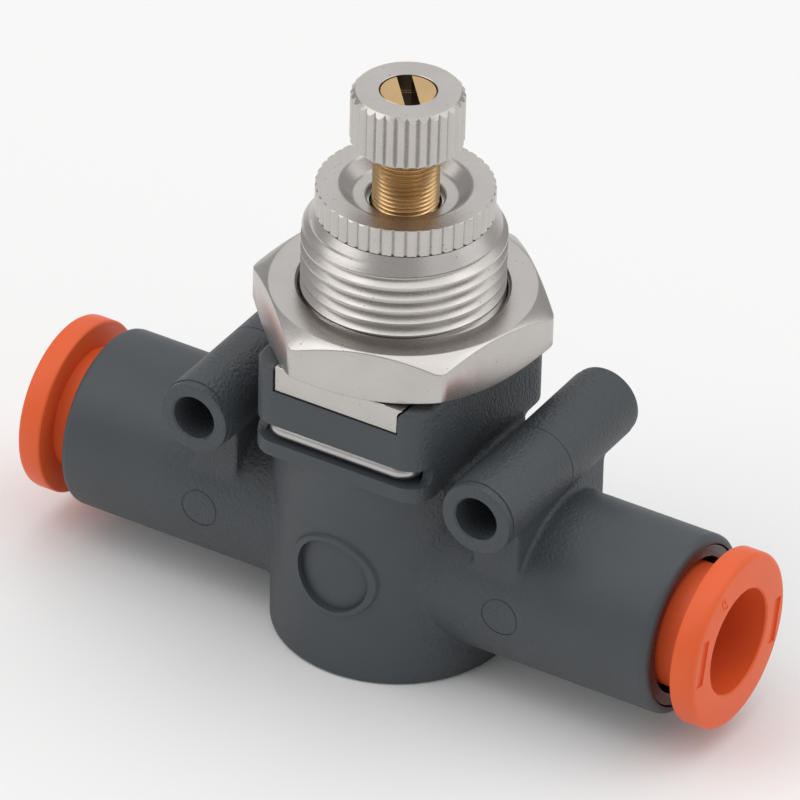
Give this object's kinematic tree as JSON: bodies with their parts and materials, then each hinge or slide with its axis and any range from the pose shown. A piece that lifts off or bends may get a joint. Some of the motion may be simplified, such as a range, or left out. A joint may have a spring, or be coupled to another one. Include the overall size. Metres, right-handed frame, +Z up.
{
  "type": "flow control fitting",
  "caption": "In-line pneumatic flow control with push-in tube sockets, cross-drilled screw bosses, a panel thread with hexagon nut, and a knurled adjusting knob with lock ring.",
  "frame": {"origin": "centre of the flat round foot, on the surface that it stands on", "axes": "+Z up along the adjusting screw, X along the two tube sockets, -Y the front with the window, the clip slot and the round emblem field"},
  "size_m": [0.0574, 0.0218, 0.0453],
  "materials": {
    "body": "fine satin moulding with lightly textured patches",
    "nickel": "nickel-plated turned brass with fine turning lines",
    "brass": "bare turned brass",
    "spring_steel": "drawn spring steel",
    "orange": "satin moulding",
    "brown": "glossy moulding",
    "white": "plain moulding",
    "rubber": "matt nitrile"
  },
  "bodies": {
    "root": {"body": "body", "cartridge": "nickel", "seat_insert": "white", "check_lip_seal": "rubber", "cartridge_seal": "rubber", "retaining_clip": "spring_steel", "left_retainer_bush": "brown", "left_grip_ring": "spring_steel", "left_support_ring": "white", "left_tube_seal": "rubber", "right_retainer_bush": "brown", "right_grip_ring": "spring_steel", "right_support_ring": "white", "right_tube_seal": "rubber"},
    "stem_carriage": {"stem_seal": "rubber"},
    "screw": {"adjusting_screw": "brass", "knob": "nickel"},
    "lock_ring": {"lock_ring": "nickel"},
    "panel_nut": {"panel_nut": "nickel"},
    "left_collar": {"left_release_collar": "orange"},
    "right_collar": {"right_release_collar": "orange"}
  },
  "joints": [
    {"name": "screw_travel", "type": "slide", "parent": "root", "child": "stem_carriage", "axis": [0, 0, 1], "range_m": [-0.0021, 0.00105]},
    {"name": "screw_turn", "type": "hinge", "parent": "stem_carriage", "child": "screw", "pos_m": [0, 0, 0.045], "axis": [0, 0, 1], "range_deg": [-2160, 1080]},
    {"name": "lock_ring_turn", "type": "hinge", "parent": "root", "child": "lock_ring", "pos_m": [0, 0, 0.0364], "axis": [0, 0, 1], "range_deg": [0, 720]},
    {"name": "panel_nut_turn", "type": "hinge", "parent": "root", "child": "panel_nut", "pos_m": [0, 0, 0.0276], "axis": [0, 0, 1], "range_deg": [0, 1440]},
    {"name": "left_collar_press", "type": "slide", "parent": "root", "child": "left_collar", "axis": [1, 0, 0], "range_m": [0, 0.0013], "stiffness_N_per_m": 2000},
    {"name": "right_collar_press", "type": "slide", "parent": "root", "child": "right_collar", "axis": [-1, 0, 0], "range_m": [0, 0.0013], "stiffness_N_per_m": 2000}
  ],
  "couplings": [
    {"joint": "screw_turn", "follows": "screw_travel", "rad_per_m": 17952}
  ]
}
